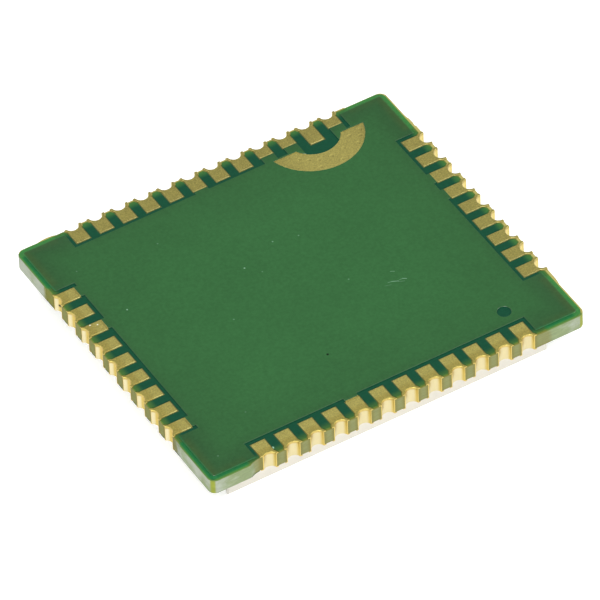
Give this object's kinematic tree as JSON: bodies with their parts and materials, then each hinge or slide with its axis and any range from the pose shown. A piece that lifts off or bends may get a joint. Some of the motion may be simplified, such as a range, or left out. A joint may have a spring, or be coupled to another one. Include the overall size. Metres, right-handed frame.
{
  "type": "gsm module",
  "caption": "Castellated GSM radio module: a small green board with gold half-hole contacts on its edges, lying solder side up on the metal shield can that covers its parts.",
  "frame": {"origin": "middle of the shield can's flat outer face, on which the module lies", "axes": "+Z out of the solder side, +X along the long edge, contact 1 at the +X end of the -Y edge"},
  "size_m": [0.0176, 0.0157, 0.0023],
  "materials": {
    "laminate": "routed glass-fibre epoxy",
    "gold_plating": "satin gold plating",
    "green_mask": "satin solder mask",
    "tin_sheet": "tin-plated sheet",
    "solder": "solder",
    "moulding": "moulded package",
    "pale_ceramic": "matte",
    "ceramic": "matte",
    "ferrite": "matte"
  },
  "bodies": {
    "root": {"laminate": "laminate", "ground_pour": "gold_plating", "antenna_ground_arc": "gold_plating", "solder_side_mask": "green_mask", "component_side_copper": "gold_plating", "component_side_mask": "green_mask", "shield_can": "tin_sheet", "baseband_processor": "moulding", "processor_balls": "solder", "power_amplifier": "moulding", "reference_crystal": "pale_ceramic", "reference_crystal_lid": "tin_sheet", "clock_crystal": "pale_ceramic", "clock_crystal_lid": "tin_sheet", "supply_capacitors": "ceramic", "bypass_capacitors": "ceramic", "matching_inductors": "ferrite", "resistors": "moulding", "contact_01": "gold_plating", "contact_02": "gold_plating", "contact_03": "gold_plating", "contact_04": "gold_plating", "contact_05": "gold_plating", "contact_06": "gold_plating", "contact_07": "gold_plating", "contact_08": "gold_plating", "contact_09": "gold_plating", "contact_10": "gold_plating", "contact_11": "gold_plating", "contact_12": "gold_plating", "contact_13": "gold_plating", "contact_14": "gold_plating", "contact_15": "gold_plating", "contact_16": "gold_plating", "contact_17": "gold_plating", "contact_18": "gold_plating", "contact_19": "gold_plating", "contact_20": "gold_plating", "contact_21": "gold_plating", "contact_22": "gold_plating", "contact_23": "gold_plating", "contact_24": "gold_plating", "contact_25": "gold_plating", "contact_26": "gold_plating", "contact_27": "gold_plating", "contact_28": "gold_plating", "contact_29": "gold_plating", "contact_30": "gold_plating", "contact_31": "gold_plating", "contact_32": "gold_plating", "contact_33": "gold_plating", "contact_34": "gold_plating", "contact_35": "gold_plating", "contact_36": "gold_plating", "contact_37": "gold_plating", "contact_38": "gold_plating", "contact_39": "gold_plating", "contact_40": "gold_plating", "contact_41": "gold_plating", "contact_42": "gold_plating"}
  },
  "joints": []
}
